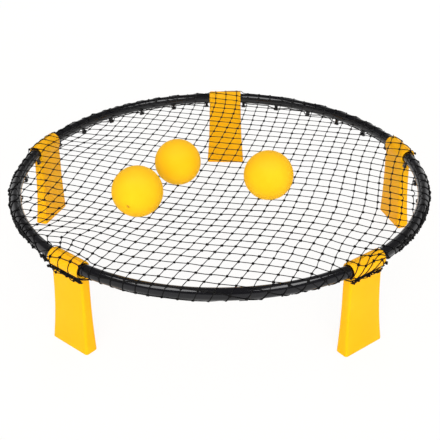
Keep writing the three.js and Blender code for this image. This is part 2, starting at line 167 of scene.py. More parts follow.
# Where the net's spare edge is gathered: azimuth in degrees, half the length along the rim, outward and up
# from the tube's or sleeve's axis, the number of strands and how far they spread.
BUNCHES = [
    (90, 38, (13.0, -19.5), 2, 1.6),
    (161.6, 44, (14.0, -17.0), 4, 2.4),
    (166.3, 8, (15.0, 7.0), 3, 1.6),
    (197, 190, (11.5, -6.0), 3, 2.0),
    (200, 160, (12.0, 3.0), 2, 2.5),
    (223.4, 9, (10.0, -11.0), 7, 2.4),
    (226.9, 9, (17.0, -3.0), 6, 2.8),
    (232.7, 44, (13.5, -19.0), 6, 3.2),
    (308.9, 41, (14.5, -17.5), 3, 2.2),
    (314.5, 6, (16.0, -5.0), 4, 1.8),
    (344.2, 190, (11.5, -6.0), 3, 2.0),
    (340, 160, (12.0, 3.0), 2, 2.5),
    (14.1, 8, (15.0, 6.0), 3, 1.4),
    (18.8, 44, (14.0, -17.0), 4, 2.4),
]
BUNCH_STEP = 2.2 * MM
BUNCH_WAVE = 45 * MM
BUNCH_KNOT_SPACING = 26 * MM
BUNCH_CLEARANCE = 1.2 * CORD_RADIUS
BLADE_FACE = 9.5 * MM  # the outer face of the blade under the sleeve, outward from the sleeve's axis

KNOT_RADIUS = 1.55 * MM
KNOT_CORD = 1.0 * MM
KNOT_STEPS = 20
KNOT_SIDES = 5

BALL_WALL = 3 * MM
BALL_SIDES = 96
BALL_OUTER_STEPS = 72
BALL_INNER_STEPS = 24
BORE_EDGE_STEPS = 5
VALVE_SIDES = 32
VALVE_BORE_RADIUS = 3.4 * MM
VALVE_BORE_EDGE = 0.7 * MM
VALVE_RADIUS = 3.0 * MM
VALVE_LENGTH = 9 * MM
VALVE_SUNK = 0.3 * MM
NEEDLE_RADIUS = 0.8 * MM
NEEDLE_DEPTH = 2.5 * MM
BALL_REST_GAP = 0.3 * MM
SOLID_CORD_HALF = 1.25 * MM  # of the solid net that the balls rest on
SOLID_NET_PLANE = 12.9 * MM

# Each ball's radius and place on the net in millimetres, and which way its valve faces, in degrees.
BALLS = [
    ("front", 51.5, (-155.7, -192.2), (-105, -8)),
    ("back", 48.7, (-85.8, -57.3), (118, -28)),
    ("right", 51.2, (105.7, -117.3), (62, -24)),
]

SCATTER_SCALE = 4 * MM
TWIST_ANGLE = math.radians(45)  # of the cord's strands

rng = np.random.default_rng(7)


# ---- Small helpers ----


def smooth_step(value, start, end):
    t = min(max((value - start) / (end - start), 0.0), 1.0)
    return t * t * (3 - 2 * t)


def lerp(a, b, share):
    return a + (b - a) * share


def add_object(name, vertices, faces, material, smooth=True):
    mesh = bpy.data.meshes.new(name)
    mesh.from_pydata(vertices, [], faces)
    mesh.polygons.foreach_set("use_smooth", [smooth] * len(mesh.polygons))
    mesh.materials.append(material)
    mesh.update()
    piece = bpy.data.objects.new(name, mesh)
    bpy.context.scene.collection.objects.link(piece)
    return piece


def grid_faces(rows, columns, close_rows=False):
    """Faces between rows of points; each row is closed on itself."""
    faces = []
    for r in range(rows if close_rows else rows - 1):
        for c in range(columns):
            r2 = (r + 1) % rows
            c2 = (c + 1) % columns
            corners = [(r, c), (r, c2), (r2, c2), (r2, c)]
            faces.append([i * columns + j for i, j in corners])
    return faces


def rim_place(azimuth, outward, up, radius=RIM_RADIUS):
    reach = radius + outward
    return Vector((reach * math.cos(azimuth), reach * math.sin(azimuth), RIM_HEIGHT + up))


# ---- Materials ----


class Finish:
    """A principled material and short calls for the nodes that it is made from."""

    def __init__(self, name, **values):
        self.material = bpy.data.materials.new(name)
        self.material.use_nodes = True
        self.nodes = self.material.node_tree.nodes
        self.links = self.material.node_tree.links
        self.shader = self.nodes["Principled BSDF"]
        for key, value in values.items():
            self.shader.inputs[key.replace("_", " ")].default_value = value
        self.coordinates = self.nodes.new("ShaderNodeTexCoord")

    def node(self, kind, inputs, **settings):
        made = self.nodes.new(kind)
        for key, value in settings.items():
            setattr(made, key, value)
        for key, value in inputs.items():
            if isinstance(value, bpy.types.NodeSocket):
                self.links.new(value, made.inputs[key])
            else:
                made.inputs[key].default_value = value
        return made

    def noise(self, scale, detail=4.0, roughness=0.55):
        place = self.coordinates.outputs["Object"]
        inputs = {"Vector": place, "Scale": scale, "Detail": detail, "Roughness": roughness}
        return self.node("ShaderNodeTexNoise", inputs).outputs["Fac"]

    def ramp(self, source, low, high, colour_low, colour_high):
        made = self.node("ShaderNodeValToRGB", {"Fac": source})
        made.color_ramp.elements[0].position = low
        made.color_ramp.elements[1].position = high
        made.color_ramp.elements[0].color = (*colour_low, 1)
        made.color_ramp.elements[1].color = (*colour_high, 1)
        return made.outputs["Color"]

    def spread(self, source, low, high):
        made = self.node("ShaderNodeMapRange", {"Value": source, "To Min": low, "To Max": high})
        return made.outputs["Result"]

    def bump(self, height, strength, distance, normal=None):
        inputs = {"Height": height, "Strength": strength, "Distance": distance}
        if normal is not None:
            inputs["Normal"] = normal
        return self.node("ShaderNodeBump", inputs).outputs["Normal"]

    def scatter(self, weight, radius):
        """Lets a little light through the skin; the radius is for red, green and blue."""
        self.shader.inputs["Subsurface Weight"].default_value = weight
        self.shader.inputs["Subsurface Scale"].default_value = SCATTER_SCALE
        self.shader.inputs["Subsurface Radius"].default_value = radius

    def set(self, key, source):
        self.links.new(source, self.shader.inputs[key])


def rim_finish():
    finish = Finish("rim_plastic", IOR=1.5, Specular_IOR_Level=0.42)
    cloud = finish.noise(9, detail=6)
    finish.set("Base Color", finish.ramp(cloud, 0.3, 0.75, (0.002, 0.002, 0.0035), (0.0055, 0.005, 0.0075)))
    scuffs = finish.noise(60, detail=8, roughness=0.7)
    finish.set("Roughness", finish.spread(scuffs, 0.04, 0.2))
    grain = finish.bump(finish.noise(1400, detail=2), 0.03, 0.0001)
    finish.set("Normal", finish.bump(finish.noise(26, detail=3), 0.04, 0.002, grain))
    return finish.material


def leg_finish():
    finish = Finish("leg_plastic", IOR=1.48, Specular_IOR_Level=0.1)
    finish.scatter(0.08, (1.0, 0.55, 0.1))
    cloud = finish.noise(11, detail=5)
    finish.set("Base Color", finish.ramp(cloud, 0.25, 0.8, (1.0, 0.47, 0.003), (1.0, 0.525, 0.009)))
    scuffs = finish.noise(70, detail=8, roughness=0.7)
    finish.set("Roughness", finish.spread(scuffs, 0.34, 0.52))
    grain = finish.bump(finish.noise(1500, detail=2), 0.12, 0.0004)
    finish.set("Normal", finish.bump(finish.noise(30, detail=3), 0.07, 0.002, grain))
    return finish.material


def cord_finish():
    finish = Finish("net_cord", IOR=1.45, Specular_IOR_Level=0.2)
    cloud = finish.noise(120, detail=4)
    finish.set("Base Color", finish.ramp(cloud, 0.3, 0.7, (0.002, 0.002, 0.0022), (0.005, 0.0045, 0.0045)))
    finish.set("Roughness", finish.spread(finish.noise(900, detail=3), 0.42, 0.75))
    lengthwise = finish.coordinates.outputs["UV"]
    turns = finish.node("ShaderNodeMapping", {"Vector": lengthwise, "Rotation": (0, 0, TWIST_ANGLE)})
    strands = finish.node(
        "ShaderNodeTexWave", {"Vector": turns.outputs["Vector"], "Scale": 0.65, "Distortion": 0.4}
    )
    twist = finish.bump(strands.outputs["Fac"], 0.6, 0.0003)
    finish.set("Normal", finish.bump(finish.noise(4000, detail=2), 0.25, 0.0001, twist))
    return finish.material


def ball_finish():
    finish = Finish("ball_rubber", IOR=1.48, Specular_IOR_Level=0.1)
    finish.scatter(0.05, (1.0, 0.6, 0.1))
    cloud = finish.noise(16, detail=5)
    finish.set("Base Color", finish.ramp(cloud, 0.25, 0.8, (1.0, 0.54, 0.007), (1.0, 0.595, 0.014)))
    finish.set("Roughness", finish.spread(finish.noise(90, detail=6, roughness=0.7), 0.48, 0.66))
    grain = finish.bump(finish.noise(900, detail=3), 0.22, 0.0004)
    finish.set("Normal", finish.bump(finish.noise(35, detail=2), 0.05, 0.002, grain))
    return finish.material


def valve_finish():
    finish = Finish("valve_rubber", IOR=1.48)
    cloud = finish.noise(300, detail=5)
    finish.set("Base Color", finish.ramp(cloud, 0.3, 0.7, (0.60, 0.31, 0.004), (0.76, 0.41, 0.010)))
    finish.set("Roughness", finish.spread(finish.noise(700, detail=4), 0.6, 0.85))
    finish.set("Normal", finish.bump(finish.noise(2500, detail=2), 0.3, 0.0003))
    return finish.material


def background_rays(nodes, links):
    """1 for the rays that show a background, straight or in a reflection; 0 for those that light things."""
    path = nodes.new("ShaderNodeLightPath")
    total = path.outputs["Is Camera Ray"]
    for key in ("Is Glossy Ray", "Is Transmission Ray"):
        joined = nodes.new("ShaderNodeMath")
        joined.operation = "MAXIMUM"
        links.new(total, joined.inputs[0])
        links.new(path.outputs[key], joined.inputs[1])
        total = joined.outputs["Value"]
    return total


def floor_finish():
    """White paper, which keeps its shadows faint in the picture."""
    finish = Finish("floor_paper", IOR=1.45, Specular_IOR_Level=0.0)
    finish.set("Base Color", finish.ramp(finish.noise(2), 0.2, 0.8, (0.93, 0.93, 0.93), (0.95, 0.95, 0.95)))
    finish.set("Roughness", finish.spread(finish.noise(40), 0.8, 0.95))
    white = finish.node("ShaderNodeEmission", {"Strength": FLOOR_GLOW})
    background = background_rays(finish.nodes, finish.links)
    seen = finish.node("ShaderNodeMath", {0: background, 1: FLOOR_WHITE}, operation="MULTIPLY")
    mix = finish.node("ShaderNodeMixShader", {"Fac": seen.outputs["Value"]})
    finish.links.new(finish.shader.outputs["BSDF"], mix.inputs[1])
    finish.links.new(white.outputs["Emission"], mix.inputs[2])
    finish.links.new(mix.outputs["Shader"], finish.nodes["Material Output"].inputs["Surface"])
    return finish.material


# ---- Rim tubes with their hooks ----


def tube_section():
    """Closed outline of the tube's wall at one end of the sweep: radius and share of the lip's length."""
    inner = TUBE_RADIUS - TUBE_WALL
    return [(inner, 0.0), (inner + TUBE_LIP, -1.0), (TUBE_RADIUS - TUBE_LIP, -1.0), (TUBE_RADIUS, 0.0)]


def hook_azimuths(leg):
    """The hooks of the tube that starts at a leg, spread evenly between the two legs' sleeves."""
    pitch = (LEG_SPANS[leg] - 2 * FIRST_HOOK_ANGLE) / (HOOKS_PER_TUBE - 1)
    return [LEG_AZIMUTHS[leg] + FIRST_HOOK_ANGLE + i * pitch for i in range(HOOKS_PER_TUBE)]


def rim_tube_skin(leg):
    """The tube's outer skin, its two rounded ends and its bore, as one closed skin of rings."""
    end = (SLEEVE_WEB_HALF + TUBE_END_GAP + TUBE_LIP) / RIM_RADIUS
    start, stop = LEG_AZIMUTHS[leg] + end, LEG_AZIMUTHS[leg] + LEG_SPANS[leg] - end
    lip = TUBE_LIP / RIM_RADIUS
    stations = [(lerp(start, stop, i / TUBE_STEPS), TUBE_RADIUS) for i in range(TUBE_STEPS + 1)]
    for radius, share in tube_section()[::-1][1:]:
        stations.append((stop - share * lip, radius))
    for i in range(1, TUBE_STEPS + 1):
        stations.append((lerp(stop, start, i / TUBE_STEPS), TUBE_RADIUS - TUBE_WALL))
    for radius, share in tube_section()[1:-1]:
        stations.append((start + share * lip, radius))
    vertices = []
    for azimuth, radius in stations:
        for i in range(TUBE_SIDES):
            angle = math.tau * i / TUBE_SIDES
            vertices.append(rim_place(azimuth, radius * math.cos(angle), radius * math.sin(angle)))
    return vertices, grid_faces(len(stations), TUBE_SIDES, close_rows=True)


def rounded_corner(corner, before, after, radius):
    """Points of the arc that rounds one corner of an outline."""
    corner, before, after = Vector(corner), Vector(before), Vector(after)
    a = (before - corner).normalized()
    b = (after - corner).normalized()
    reach = min(radius, (before - corner).length / 2, (after - corner).length / 2)
    start, end = corner + a * reach, corner + b * reach
    points = []
    for i in range(HOOK_CORNER_STEPS + 1):
        t = i / HOOK_CORNER_STEPS
        points.append(start * (1 - t) ** 2 + corner * 2 * t * (1 - t) + end * t * t)
    return points


def hook_outline(length):
    """The hook's T, drawn hanging down from its root, with a flared root and rounded corners."""
    neck = HOOK_HEAD_HEIGHT - length
    half = [
        ((HOOK_POST_HALF + 1.6 * HOOK_FILLET, 0), 0),
        ((HOOK_POST_HALF, -2.2 * HOOK_FILLET), HOOK_FILLET * 1.5),
        ((HOOK_POST_HALF, neck), HOOK_FILLET),
        ((HOOK_HEAD_HALF, neck), HOOK_FILLET * 0.5),
        ((HOOK_HEAD_HALF, -length), HOOK_FILLET),
    ]
    mirrored = [((-x, y), r) for (x, y), r in reversed(half)]
    outline = half + mirrored
    points = []
    for i, (corner, radius) in enumerate(outline):
        if radius == 0:
            points.append(Vector(corner))
        else:
            before, after = outline[i - 1][0], outline[(i + 1) % len(outline)][0]
            points.extend(rounded_corner(corner, before, after, radius))
    return points


def hook_mesh(azimuth):
    """One hook as a bmesh, from inside the tube's wall to its tip, with its edges softened."""
    root_radius = TUBE_RADIUS - TUBE_WALL / 2
    root_spot = (root_radius * math.cos(HOOK_ROOT_ANGLE), root_radius * math.sin(HOOK_ROOT_ANGLE))
    root = rim_place(azimuth, *root_spot)
    tip = rim_place(azimuth, *HOOK_TIP)
    up = (root - tip).normalized()
    along = Vector((-math.sin(azimuth), math.cos(azimuth), 0))
    across = along.cross(up)
    outline = hook_outline((root - tip).length)
    made = bmesh.new()
    sides = []
    for side in (-1, 1):
        offset = across * (side * HOOK_THICKNESS / 2)
        sides.append([made.verts.new(root + along * p.x + up * p.y + offset) for p in outline])
    made.faces.new(sides[0][::-1])
    made.faces.new(sides[1])
    for i in range(len(outline)):
        j = (i + 1) % len(outline)
        made.faces.new([sides[0][i], sides[0][j], sides[1][j], sides[1][i]])
    rims = [e for e in made.edges if any(len(f.verts) > 4 for f in e.link_faces)]
    bmesh.ops.bevel(made, geom=rims, offset=HOOK_EDGE, segments=2, affect="EDGES", profile=0.6)
    bmesh.ops.recalc_face_normals(made, faces=made.faces)
    return made


def make_rim_tube(leg, name, material):
    vertices, faces = rim_tube_skin(leg)
    piece = add_object(f"tube_{name}", vertices, faces, material)
    whole = bmesh.new()
    whole.from_mesh(piece.data)
    bmesh.ops.recalc_face_normals(whole, faces=whole.faces)
    for azimuth in hook_azimuths(leg):
        hook = hook_mesh(azimuth)
        part = bpy.data.meshes.new("hook")
        hook.to_mesh(part)
        hook.free()
        whole.from_mesh(part)
        bpy.data.meshes.remove(part)
    for face in whole.faces:
        face.smooth = True
    whole.to_mesh(piece.data)
    whole.free()
    sharpen(piece, TUBE_CREASE)
    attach(piece, "ring")
    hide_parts(f"rim_tube_{name}")


def sharpen(piece, degrees):
    """Keeps edges that turn more than an angle crisp in smooth shading."""
    piece.data.set_sharp_from_angle(angle=math.radians(degrees))


# ---- Legs, drawn for a leg at azimuth 0: X outward from the sleeve's axis, Y along the rim ----


def blade_at(height):
    """Half width, half thickness and outward shift of the blade at a height, on a smooth curve."""
    rows = np.array(BLADE_SECTIONS) * MM
    if height <= rows[1, 0]:
        t = height / rows[1, 0]
        return [lerp(rows[0, k], rows[1, k], math.sqrt(max(0.0, 1 - (1 - t) ** 2))) for k in (1, 2, 3)]
    i = int(np.clip(np.searchsorted(rows[:, 0], height) - 1, 1, len(rows) - 2))
    before, after = max(i - 1, 1), min(i + 2, len(rows) - 1)
    span = rows[i + 1, 0] - rows[i, 0]
    t = (height - rows[i, 0]) / span
    values = []
    for k in (1, 2, 3):
        slope_a = (rows[i + 1, k] - rows[before, k]) / (rows[i + 1, 0] - rows[before, 0]) * span
        slope_b = (rows[after, k] - rows[i, k]) / (rows[after, 0] - rows[i, 0]) * span
        a, b = rows[i, k], rows[i + 1, k]
        values.append(
            a * (2 * t**3 - 3 * t**2 + 1)
            + slope_a * (t**3 - 2 * t**2 + t)
            + b * (3 * t**2 - 2 * t**3)
            + slope_b * (t**3 - t**2)
        )
    return values


def soft_greater(a, b, softness):
    """The greater of two lengths, with a fillet where they are alike."""
    return (a + b + math.sqrt((a - b) ** 2 + softness**2)) / 2


def leg_levels():
    """Levels from the ground to the sleeve's top, each with the leg's section there."""
    low = RIM_HEIGHT - SLEEVE_RADIUS * math.cos(math.radians(SLEEVE_STARTS_AT))
    heights = SOLE_EDGE_LEVELS + [lerp(SOLE_EDGE_TOP, low, i / BLADE_STEPS) for i in range(BLADE_STEPS)]
    for i in range(SLEEVE_STEPS + 1):
        turn = math.radians(lerp(SLEEVE_STARTS_AT, 180, i / SLEEVE_STEPS))
        heights.append(RIM_HEIGHT - SLEEVE_RADIUS * math.cos(turn))
    levels = []
    for height in heights:
        half_width, half_thickness, outward = blade_at(min(height, BLADE_TOP))
        rise = min(max((height - RIM_HEIGHT) / SLEEVE_RADIUS, -1.0), 1.0)
        circle = SLEEVE_RADIUS * math.sqrt(max(0.0, 1 - rise * rise))
        share = smooth_step(height, *BLADE_BLEND)
        outer = inner = circle
        if height < RIM_HEIGHT:
            rises, fades = smooth_step(height, *BLEND_RISES), smooth_step(height, *BLEND_FADES)
            softness = BLEND_SOFTNESS * rises * (1 - fades)
            outer = soft_greater(half_thickness + outward, circle, softness)
            inner = soft_greater(half_thickness - outward, circle, softness)
        normal_up = rise * share
        levels.append(
            {
                "z": height,
                "middle": (outer - inner) / 2,
                "half": (outer + inner) / 2,
                "normal": (math.sqrt(max(0.0, 1 - normal_up**2)), normal_up),
                "width": lerp(half_width, SLEEVE_HALF_LENGTH, share),
                "corner": lerp(BLADE_CORNER, SLEEVE_EDGE, share),
            }
        )
    return levels


def leg_shell():
    """The leg's outer skin: for each level a loop along one side, round the end, back and round again."""
    levels = leg_levels()
    turns = [math.pi / 2 * i / CORNER_STEPS for i in range(CORNER_STEPS + 1)]
    loops = []
    for level in levels:
        corner = min(level["corner"], max(level["half"] - SECTION_FLAT, SLEEVE_EDGE * 0.9))
        nx, nz = level["normal"]

        def spot(side, end, turn):
            inset = corner * (1 - math.cos(turn))
            x = level["middle"] + side * max(level["half"] - nx * inset, 0.0)
            y = end * (level["width"] - corner + corner * math.sin(turn))
            return Vector((x, y, level["z"] - nz * inset))

        loop = []
        for side, end in ((1, 1), (-1, 1), (-1, -1), (1, -1)):
            ordered = turns if side == end else turns[::-1]
            loop.extend(spot(side, end, turn) for turn in ordered)
        loops.append(loop)
    count = len(loops[0])
    vertices = [v for loop in loops for v in loop]
    faces = grid_faces(len(loops), count)
    steps = len(turns)
    # The sole and the sleeve's top, closed with strips across the loop.
    for start in (0, (len(loops) - 1) * count):
        for i in range(steps * 2 - 1):
            a, b = start + i, start + i + 1
            c, d = start + count - 2 - i, start + count - 1 - i
            if a < b < c < d:
                faces.append([a, b, c, d])
    return vertices, faces


def bore_cutter(side):
    made = bmesh.new()
    length = SLEEVE_HALF_LENGTH + BORE_OVERSHOOT - SLEEVE_WEB_HALF
    place = Matrix.Translation((0, side * (SLEEVE_WEB_HALF + length / 2), RIM_HEIGHT))
    turned = place @ Matrix.Rotation(math.pi / 2, 4, "X")
    bmesh.ops.create_cone(
        made,
        cap_ends=True,
        segments=BORE_SIDES,
        radius1=SLEEVE_BORE_RADIUS,
        radius2=SLEEVE_BORE_RADIUS,
        depth=length,
        matrix=turned,
    )
    mesh = bpy.data.meshes.new("bore")
    made.to_mesh(mesh)
    made.free()
    cutter = bpy.data.objects.new("bore", mesh)
    bpy.context.scene.collection.objects.link(cutter)
    return cutter


def apply_modifiers(piece):
    graph = bpy.context.evaluated_depsgraph_get()
    mesh = bpy.data.meshes.new_from_object(piece.evaluated_get(graph))
    piece.modifiers.clear()
    old = piece.data
    piece.data = mesh
    bpy.data.meshes.remove(old)


def leg_template(material):
    vertices, faces = leg_shell()
    piece = add_object("leg_template", vertices, faces, material)
    made = bmesh.new()
    made.from_mesh(piece.data)
    bmesh.ops.remove_doubles(made, verts=made.verts, dist=MERGE_DISTANCE)
    bmesh.ops.recalc_face_normals(made, faces=made.faces)
    made.to_mesh(piece.data)
    made.free()
    cutters = [bore_cutter(side) for side in (-1, 1)]
    for cutter in cutters:
        cut = piece.modifiers.new("bore", "BOOLEAN")
        cut.operation = "DIFFERENCE"
        cut.solver = "EXACT"
        cut.object = cutter
    apply_modifiers(piece)
    for cutter in cutters:
        bpy.data.objects.remove(cutter)
    piece.data.polygons.foreach_set("use_smooth", [True] * len(piece.data.polygons))
    sharpen(piece, LEG_CREASE)
    return piece


def make_legs(material):
    template = leg_template(material)
    for (name, _, _), azimuth in zip(LEGS, LEG_AZIMUTHS):
        mesh = template.data.copy()
        place = Matrix.Rotation(azimuth, 4, "Z") @ Matrix.Translation((SLEEVE_AXIS_RADIUS, 0, 0))
        mesh.transform(place)
        piece = bpy.data.objects.new(f"moulded_leg_{name}", mesh)
        bpy.context.scene.collection.objects.link(piece)
        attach(piece, f"leg_{name}")
        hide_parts(f"leg_{name}")
    bpy.data.objects.remove(template)


# ---- Net ----


def rim_axis(azimuth):
    """1 on a leg's sleeve and 0 on the bare tube, and how far out the axis of either lies."""
    offs = [(azimuth - leg + math.pi) % math.tau - math.pi for leg in LEG_AZIMUTHS]
    off = min(offs, key=abs)
    share = smooth_step(abs(off) * RIM_RADIUS, *SLEEVE_CHANGES)
    return share, lerp(RIM_RADIUS, SLEEVE_AXIS_RADIUS / math.cos(off), share)


def lay(x, y, proud=0.0):
    """Takes a point of the flat net to its place: level inside the rim, then down round tube or sleeve."""
    reach, azimuth = math.hypot(x, y), math.atan2(y, x)
    share, axis_radius = rim_axis(azimuth)
    wrap_radius = lerp(TUBE_RADIUS, SLEEVE_RADIUS, share) + CORD_RADIUS
    beyond = reach - axis_radius
    if beyond <= 0:
        up = NET_PLANE + (wrap_radius - NET_PLANE) * smooth_step(reach, LIFT_STARTS_AT, axis_radius)
        place = rim_place(azimuth, 0, up + proud, radius=reach)
        return place, Vector((0, 0, 1))
    bend = math.pi / 2 - min(beyond, WRAP_LENGTH) / wrap_radius
    outward, up = math.cos(bend), math.sin(bend)
    normal = Vector((outward * math.cos(azimuth), outward * math.sin(azimuth), up))
    radius = wrap_radius + proud
    return rim_place(azimuth, radius * outward, radius * up, radius=axis_radius), normal


def slackness(place):
    return sum(math.exp(-((place - Vector(c) * MM).length / (r * MM)) ** 2) for c, r in SLACK_PLACES)


def net_limit(azimuth):
    """How far out the flat net reaches at an azimuth."""
    share, axis_radius = rim_axis(azimuth)
    return axis_radius + WRAP_LENGTH + share * GATHER_LENGTH


def flat_knot(across, back):
    place = NET_ORIGIN + NET_STEP_ACROSS * across + NET_STEP_BACK * back
    pulled = place.copy()
    for centre, pull, radius in NET_PULLS:
        gap = (place - Vector(centre) * MM).length / (radius * MM)
        pulled += Vector(pull) * MM * math.exp(-gap * gap / 2)
    jitter = lerp(KNOT_JITTER, SLACK_JITTER, min(slackness(pulled), 1.0))
    return pulled + Vector(rng.normal(0, 1, 2).tolist()) * jitter


def cord_frames(points):
    """Two directions across the cord at each of its points, carried along it without twist."""
    points = np.asarray(points)
    ways = np.gradient(points, axis=0)
    ways /= np.linalg.norm(ways, axis=1)[:, None] + 1e-12
    first = np.cross(ways[0], [0.31, 0.2, 0.93])
    first /= np.linalg.norm(first)
    sides = [first]
    for way in ways[1:]:
        side = sides[-1] - way * np.dot(sides[-1], way)
        sides.append(side / (np.linalg.norm(side) + 1e-12))
    sides = np.array(sides)
    return points, sides, np.cross(ways, sides)


class Cords:
    """Gathers round cords and knots into one mesh with lengthwise coordinates for the twist."""

    def __init__(self):
        self.vertices, self.faces, self.uvs = [], [], []
        self.count = 0

    def add_rings(self, rings, sides, lengths, cord_radius, closed=False):
        """Skins a row of rings; a row that isn't closed on itself gets flat ends."""
        steps = len(rings)
        self.vertices.append(rings.reshape(-1, 3))
        rows = np.arange(steps if closed else steps - 1)
        columns = np.arange(sides)
        r, c = np.meshgrid(rows, columns, indexing="ij")
        r2, c2 = (r + 1) % steps, (c + 1) % sides
        quads = np.stack([r * sides + c, r2 * sides + c, r2 * sides + c2, r * sides + c2], -1)
        self.faces.append(quads.reshape(-1, 4) + self.count)
        turn = cord_radius * math.tau
        u = lengths / turn
        u = np.append(u, u[-1] + (u[-1] - u[-2])) if closed else u
        corners = [(r, c), (r + 1, c), (r + 1, c + 1), (r, c + 1)]
        uv = np.stack([np.stack([u[a], b / sides], -1) for a, b in corners], 2)
        self.uvs.append(uv.reshape(-1, 2))
        if not closed:
            fan = np.array([(0, k - 1, k, k + 1) for k in range(2, sides - 1, 2)])
            caps = np.concatenate([fan, fan[:, ::-1] + (steps - 1) * sides])
            self.faces.append(caps + self.count)
            self.uvs.append(np.zeros((4 * len(caps), 2)))
        self.count += steps * sides

    def add_cord(self, points, radius=CORD_RADIUS, sides=CORD_SIDES):
        points, side, other = cord_frames(points)
        angles = math.tau * np.arange(sides) / sides
        rings = points[:, None] + radius * (
            np.cos(angles)[None, :, None] * side[:, None] + np.sin(angles)[None, :, None] * other[:, None]
        )
        lengths = np.concatenate([[0], np.cumsum(np.linalg.norm(np.diff(points, axis=0), axis=1))])
        self.add_rings(rings, sides, lengths, radius)

    def build(self, name, material):
        vertices = np.concatenate(self.vertices)
        faces = np.concatenate(self.faces)
        mesh = bpy.data.meshes.new(name)
        mesh.vertices.add(len(vertices))
        mesh.vertices.foreach_set("co", vertices.astype(np.float32).ravel())
        mesh.loops.add(len(faces) * 4)
        mesh.loops.foreach_set("vertex_index", faces.astype(np.int32).ravel())
        mesh.polygons.add(len(faces))
        mesh.polygons.foreach_set("loop_start", np.arange(len(faces), dtype=np.int32) * 4)
        mesh.update(calc_edges=True)
        mesh.polygons.foreach_set("use_smooth", [True] * len(faces))
        layer = mesh.uv_layers.new(name="UVMap")
        layer.data.foreach_set("uv", np.concatenate(self.uvs).astype(np.float32).ravel())
        mesh.materials.append(material)
        mesh.validate()
        piece = bpy.data.objects.new(name, mesh)
        bpy.context.scene.collection.objects.link(piece)
        return piece


def knot_curve():
    """A small overhand turn round the crossing of two cords."""
    t = np.linspace(0, math.tau, KNOT_STEPS, endpoint=False)
    reach = KNOT_RADIUS * (1 + 0.45 * np.cos(3 * t))
    lift = KNOT_RADIUS * 0.55 * np.sin(3 * t)
    return np.stack([reach * np.cos(2 * t), reach * np.sin(2 * t), lift], -1)


def add_knot(cords, place, normal, turn):
    up = np.array(normal)
    side = np.cross(up, [math.cos(turn), math.sin(turn), 0.3])
    side /= np.linalg.norm(side)
    basis = np.stack([side, np.cross(up, side), up])
    size = rng.uniform(0.9, 1.15)
    curve = knot_curve() * size
    points, first, second = cord_frames(np.vstack([curve, curve[:1]]))
    points, first, second = points[:-1], first[:-1], second[:-1]
    angles = math.tau * np.arange(KNOT_SIDES) / KNOT_SIDES
    rings = points[:, None] + KNOT_CORD * size * (
        np.cos(angles)[None, :, None] * first[:, None] + np.sin(angles)[None, :, None] * second[:, None]
    )
    rings = rings @ basis + np.array(place)
    lengths = np.arange(KNOT_STEPS) * KNOT_RADIUS
    cords.add_rings(rings, KNOT_SIDES, lengths, KNOT_CORD, closed=True)


def bunch_offset(place, beyond):
    """Throws the net that is bunched beyond the edge about in loose loops, outward off the sleeve."""
    share = smooth_step(beyond, 0.0, GATHER_LENGTH)
    thrown = Vector(rng.normal(0, 1, 3).tolist()) * GATHER_SPREAD * min(1.0, share * 2.5)
    azimuth = math.atan2(place.y, place.x)
    outward = Vector((math.cos(azimuth), math.sin(azimuth), 0))
    thrown += outward * (GATHER_OUT * share + abs(thrown.dot(outward)))
    return thrown + Vector((0, 0, -GATHER_SINK * share))


def place_knots():
    """Every knot of the net inside its edge: flat place, laid place and normal."""
    knots = {}
    for across in range(-NET_REACH, NET_REACH + 1):
        for back in range(-NET_REACH, NET_REACH + 1):
            flat = flat_knot(across, back)
            azimuth = math.atan2(flat.y, flat.x)
            if flat.length > net_limit(azimuth):
                continue
            place, normal = lay(flat.x, flat.y)
            beyond = flat.length - RIM_RADIUS - WRAP_LENGTH
            offset = bunch_offset(place, beyond) if beyond > 0 else Vector((0, 0, 0))
            knots[across, back] = (flat, place + offset, normal, offset)
    return knots


def segment_points(a, b):
    """Points between two neighbouring knots, without the last one, laid over the rim where it is."""
    flat_a, place_a, _, offset_a = a
    flat_b, _, _, offset_b = b
    way = flat_b - flat_a
    aside = Vector((-way.y, way.x)).normalized()
    slack = min(slackness((flat_a + flat_b) / 2), 1.0)
    bow = float(rng.normal(0, 1)) * lerp(CORD_BOW, SLACK_BOW, slack) * 0.5
    points = [place_a]
    for step in range(1, CORD_STEPS):
        t = step / CORD_STEPS
        flat = flat_a.lerp(flat_b, t) + aside * (bow * 4 * t * (1 - t))
        place, _ = lay(flat.x, flat.y)
        points.append(place + offset_a.lerp(offset_b, t))
    return points


def cord_runs(knots, step):
    """The unbroken runs of neighbouring knots along each cord that goes one way."""
    runs = []
    for key in sorted(knots):
        before = (key[0] - step[0], key[1] - step[1])
        if before in knots:
            continue
        run = [key]
        after = (key[0] + step[0], key[1] + step[1])
        while after in knots:
            run.append(after)
            after = (after[0] + step[0], after[1] + step[1])
        runs.append(run)
    return runs


def edge_place(azimuth):
    """Where the net's edge lies at an azimuth."""
    _, axis_radius = rim_axis(azimuth)
    reach = axis_radius + WRAP_LENGTH
    place, _ = lay(reach * math.cos(azimuth), reach * math.sin(azimuth), EDGE_PROUD)
    return place


def clear_of_rim(outward, up, share):
    """Moves a point of the rim's cross section off its tube, or off a leg's sleeve and blade."""
    reach = math.hypot(outward, up)
    least = lerp(TUBE_RADIUS, SLEEVE_RADIUS, share) + BUNCH_CLEARANCE
    if reach < least:
        outward, up = outward * least / reach, up * least / reach
    if share > 0 and up < 0:
        outward = max(outward, BLADE_FACE + BUNCH_CLEARANCE)
    return outward, up


def random_wave(turns, sizes, counts):
    """A wave's size, how many half turns it makes each way from the middle, and its phase."""
    return rng.uniform(*sizes), turns * rng.uniform(*counts), rng.uniform(0, math.tau)


